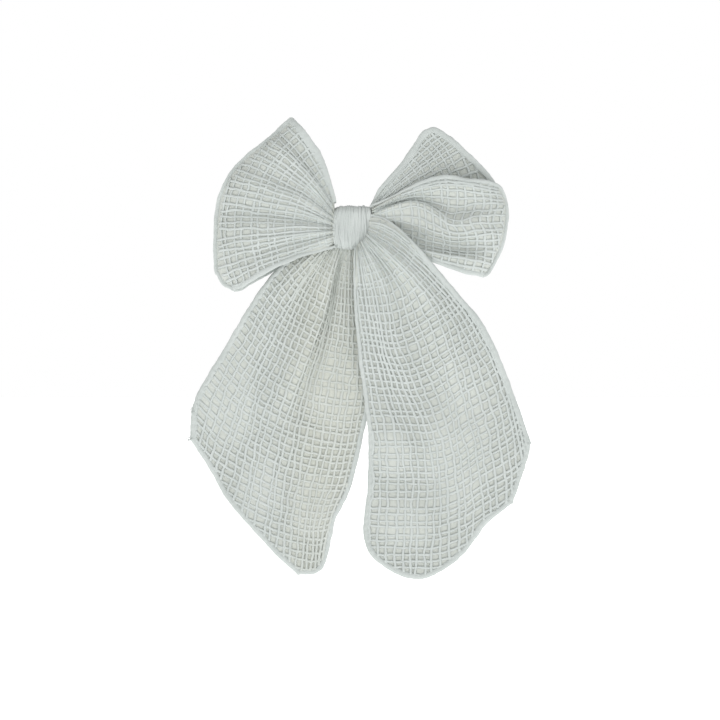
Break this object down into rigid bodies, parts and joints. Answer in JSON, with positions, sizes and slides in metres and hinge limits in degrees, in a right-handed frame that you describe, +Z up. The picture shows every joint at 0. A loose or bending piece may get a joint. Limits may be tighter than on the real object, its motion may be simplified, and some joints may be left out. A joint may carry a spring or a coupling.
{
  "type": "hair bow",
  "caption": "Long-tailed hair bow of open-weave net over a plain lining, with two puffed loops and a wrapped knot, on a sprung hair clip that opens to grip hair.",
  "frame": {"origin": "centre of the back face of the clip's lower arm, which lies against the head, level with the knot", "axes": "+Z up along the tails' length, +X to the right as seen from the front, +Y out of the clip's back face, so the bow's front faces -Y"},
  "size_m": [0.1147, 0.0192, 0.1543],
  "materials": {
    "gauze": "open-weave cotton net, matte",
    "lining": "plain cotton voile, matte",
    "hem_gauze": "turned and pressed cotton edge, matte",
    "knot_gauze": "gathered open-weave cotton, matte",
    "sewing_thread": "twisted thread, slight sheen",
    "felt": "felt, matte",
    "ribbon": "ribbed ribbon, slight sheen",
    "clip_steel": "plated steel sheet, satin",
    "pin_steel": "plated, bright",
    "spring_steel": "spring wire, satin",
    "grip_rubber": "silicone, matte"
  },
  "bodies": {
    "bow": {"left_loop_front": "gauze", "left_loop_back": "gauze", "right_loop_front": "gauze", "right_loop_back": "gauze", "left_tail_front": "gauze", "left_tail_back": "gauze", "right_tail_front": "gauze", "right_tail_back": "gauze", "left_loop_front_lining": "lining", "left_loop_back_lining": "lining", "right_loop_front_lining": "lining", "right_loop_back_lining": "lining", "left_tail_lining": "lining", "right_tail_lining": "lining", "left_loop_front_hem": "hem_gauze", "left_loop_back_hem": "hem_gauze", "right_loop_front_hem": "hem_gauze", "right_loop_back_hem": "hem_gauze", "left_tail_hem": "hem_gauze", "right_tail_hem": "hem_gauze", "centre_knot_wrap": "knot_gauze", "gathered_core": "gauze", "gathering_thread": "sewing_thread", "wrap_stitches": "sewing_thread", "felt_pad": "felt", "clip_ribbon_lining": "ribbon", "clip_upper_arm": "clip_steel", "clip_hinge_pin": "pin_steel", "clip_torsion_spring": "spring_steel"},
    "jaw": {"clip_lower_arm": "clip_steel", "clip_grip_pad": "grip_rubber"}
  },
  "joints": [
    {"name": "clip_jaw", "type": "hinge", "parent": "bow", "child": "jaw", "pos_m": [0.013, -0.0026, 0], "axis": [0, 0, -1], "range_deg": [0, 28], "stiffness_Nm_per_rad": 0.02, "springref_deg": -34.38, "deforming": ["clip_torsion_spring"]}
  ]
}
